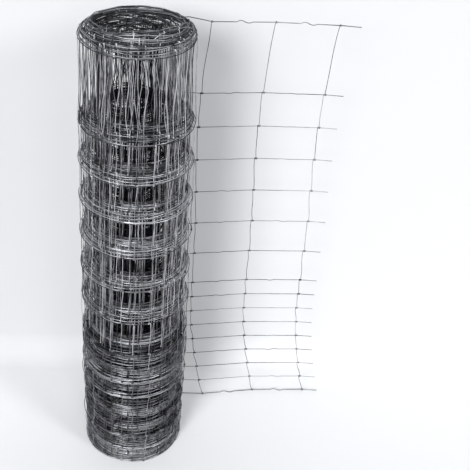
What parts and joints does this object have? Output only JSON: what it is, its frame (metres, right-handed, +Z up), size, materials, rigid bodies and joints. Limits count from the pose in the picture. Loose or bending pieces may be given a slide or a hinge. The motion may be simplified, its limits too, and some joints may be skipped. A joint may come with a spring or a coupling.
{
  "type": "roll of woven wire stock fence",
  "caption": "Standing roll of hinge-joint woven wire fence with an open middle and its last bays drawn off; bays close up towards the bottom wire.",
  "frame": {"origin": "centre of the roll's open middle at floor height, where the roll stands on its end", "axes": "+Z up along the roll's axis, +X towards the free end of the fence, +Y to the back of the roll, where the free end leaves it"},
  "size_m": [0.6724, 0.3098, 1.2445],
  "materials": {
    "wound_wire": "satin",
    "line_wire": "satin",
    "stay_wire": "satin"
  },
  "bodies": {
    "root": {"wound_roll": "wound_wire", "top_line_wire": "line_wire", "line_wire_02": "line_wire", "line_wire_03": "line_wire", "line_wire_04": "line_wire", "line_wire_05": "line_wire", "line_wire_06": "line_wire", "line_wire_07": "line_wire", "line_wire_08": "line_wire", "line_wire_09": "line_wire", "line_wire_10": "line_wire", "line_wire_11": "line_wire", "line_wire_12": "line_wire", "line_wire_13": "line_wire", "line_wire_14": "line_wire", "line_wire_15": "line_wire", "bottom_line_wire": "line_wire", "stay_wires_0": "stay_wire", "stay_wires_1": "stay_wire", "stay_wires_2": "stay_wire", "stay_wires_3": "stay_wire"}
  },
  "joints": []
}
